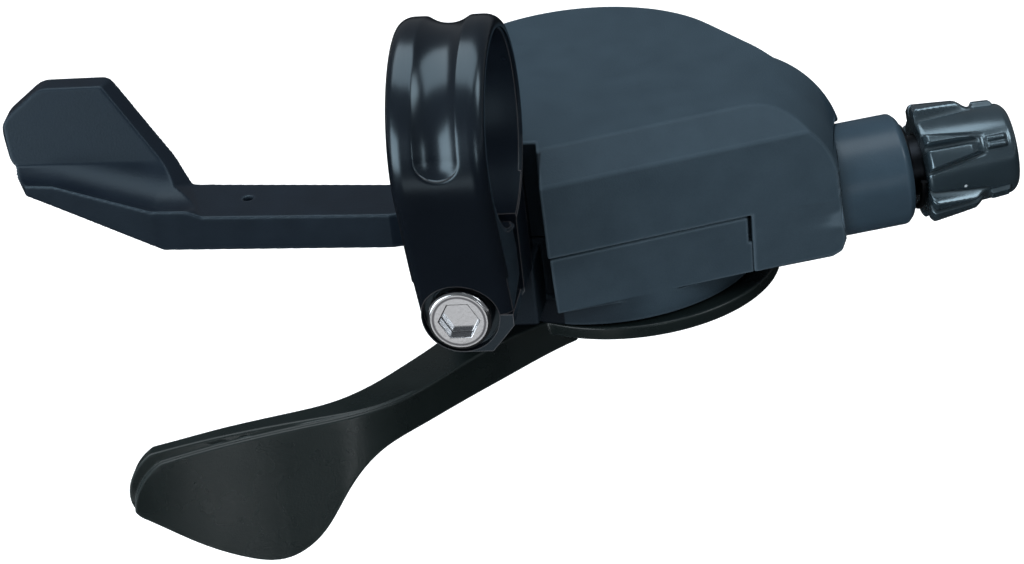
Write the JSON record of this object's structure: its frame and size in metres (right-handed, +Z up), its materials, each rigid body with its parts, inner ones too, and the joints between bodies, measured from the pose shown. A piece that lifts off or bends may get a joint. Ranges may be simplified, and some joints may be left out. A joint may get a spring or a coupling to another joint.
{
  "type": "bicycle gear shifter",
  "caption": "Left-hand trigger gear shifter for a flat handlebar: split clamp ring, faceted housing, thumb lever, release trigger, ratchet spool and ribbed cable adjuster",
  "frame": {"origin": "centre of the handlebar clamp bore", "axes": "+X along the handlebar towards the cable, +Y ahead of the rider, +Z up"},
  "size_m": [0.1182, 0.0677, 0.0594],
  "materials": {
    "housing_plastic": "fine grain",
    "band_black": "gloss black",
    "bolt_chrome": "polished",
    "lever_black": "satin",
    "trigger_black": "satin",
    "knob_black": "semi-gloss",
    "steel": "zinc plated",
    "spring_steel": "bright",
    "spool_plastic": "moulded",
    "bush_brass": "turned",
    "sleeve_metal": "turned"
  },
  "bodies": {
    "housing": {"clamp_band": "band_black", "clamp_bolt": "bolt_chrome", "foot_screw": "steel", "base_housing": "housing_plastic", "top_cover": "housing_plastic", "cover_screw_near": "steel", "cover_screw_far": "steel", "main_axle": "steel", "axle_washer": "steel", "axle_nut": "steel", "thrust_washer": "bush_brass", "spool_return_spring": "spring_steel", "lever_return_spring": "spring_steel", "trigger_pivot_pin": "steel", "trigger_return_spring": "spring_steel", "holding_pawl_pin": "steel", "holding_pawl_spring": "spring_steel", "adjuster_spring": "spring_steel"},
    "lever": {"thumb_lever": "lever_black", "lever_bush": "bush_brass", "pawl_carrier": "steel", "drive_pawl_pin": "steel", "drive_pawl_spring": "spring_steel"},
    "spool": {"cable_spool": "spool_plastic", "spool_bush": "bush_brass"},
    "drive_pawl": {"drive_pawl": "steel"},
    "trigger": {"release_trigger": "trigger_black"},
    "holding_pawl": {"holding_pawl": "steel"},
    "adjuster_sleeve": {"adjuster_sleeve": "sleeve_metal"},
    "adjuster_knob": {"adjuster_knob": "knob_black"}
  },
  "joints": [
    {"name": "thumb_push", "type": "hinge", "parent": "housing", "child": "lever", "pos_m": [0.0105, 0.03, -0.033], "axis": [0, 0, -1], "range_deg": [0, 45], "stiffness_Nm_per_rad": 0.15, "springref_deg": -20.05},
    {"name": "spool_wind", "type": "hinge", "parent": "housing", "child": "spool", "pos_m": [0.0105, 0.03, -0.0215], "axis": [0, 0, -1], "range_deg": [0, 45]},
    {"name": "drive_pawl_swing", "type": "hinge", "parent": "lever", "child": "drive_pawl", "pos_m": [0.00803, 0.04398, -0.025], "axis": [0, 0, 1], "range_deg": [0, 10], "stiffness_Nm_per_rad": 0.002, "springref_deg": -5.73},
    {"name": "trigger_pull", "type": "hinge", "parent": "housing", "child": "trigger", "pos_m": [-0.0033, 0.0206, -0.019], "axis": [0, 0, 1], "range_deg": [0, 10], "stiffness_Nm_per_rad": 0.2, "springref_deg": -8.59},
    {"name": "holding_pawl_lift", "type": "hinge", "parent": "housing", "child": "holding_pawl", "pos_m": [0.0012, 0.0192, -0.018], "axis": [0, 0, 1], "range_deg": [0, 12.1]},
    {"name": "adjuster_travel", "type": "slide", "parent": "housing", "child": "adjuster_sleeve", "axis": [0.9397, 0.342, 0], "range_m": [0, 0.0024]},
    {"name": "adjuster_turn", "type": "hinge", "parent": "adjuster_sleeve", "child": "adjuster_knob", "pos_m": [0.05158, 0.03293, -0.0219], "axis": [0.9397, 0.342, 0], "range_deg": [0, 1081]}
  ],
  "couplings": [
    {"joint": "spool_wind", "follows": "thumb_push", "ratio": 1},
    {"joint": "holding_pawl_lift", "follows": "trigger_pull", "ratio": 1.2},
    {"joint": "adjuster_turn", "follows": "adjuster_travel", "rad_per_m": 7854}
  ]
}
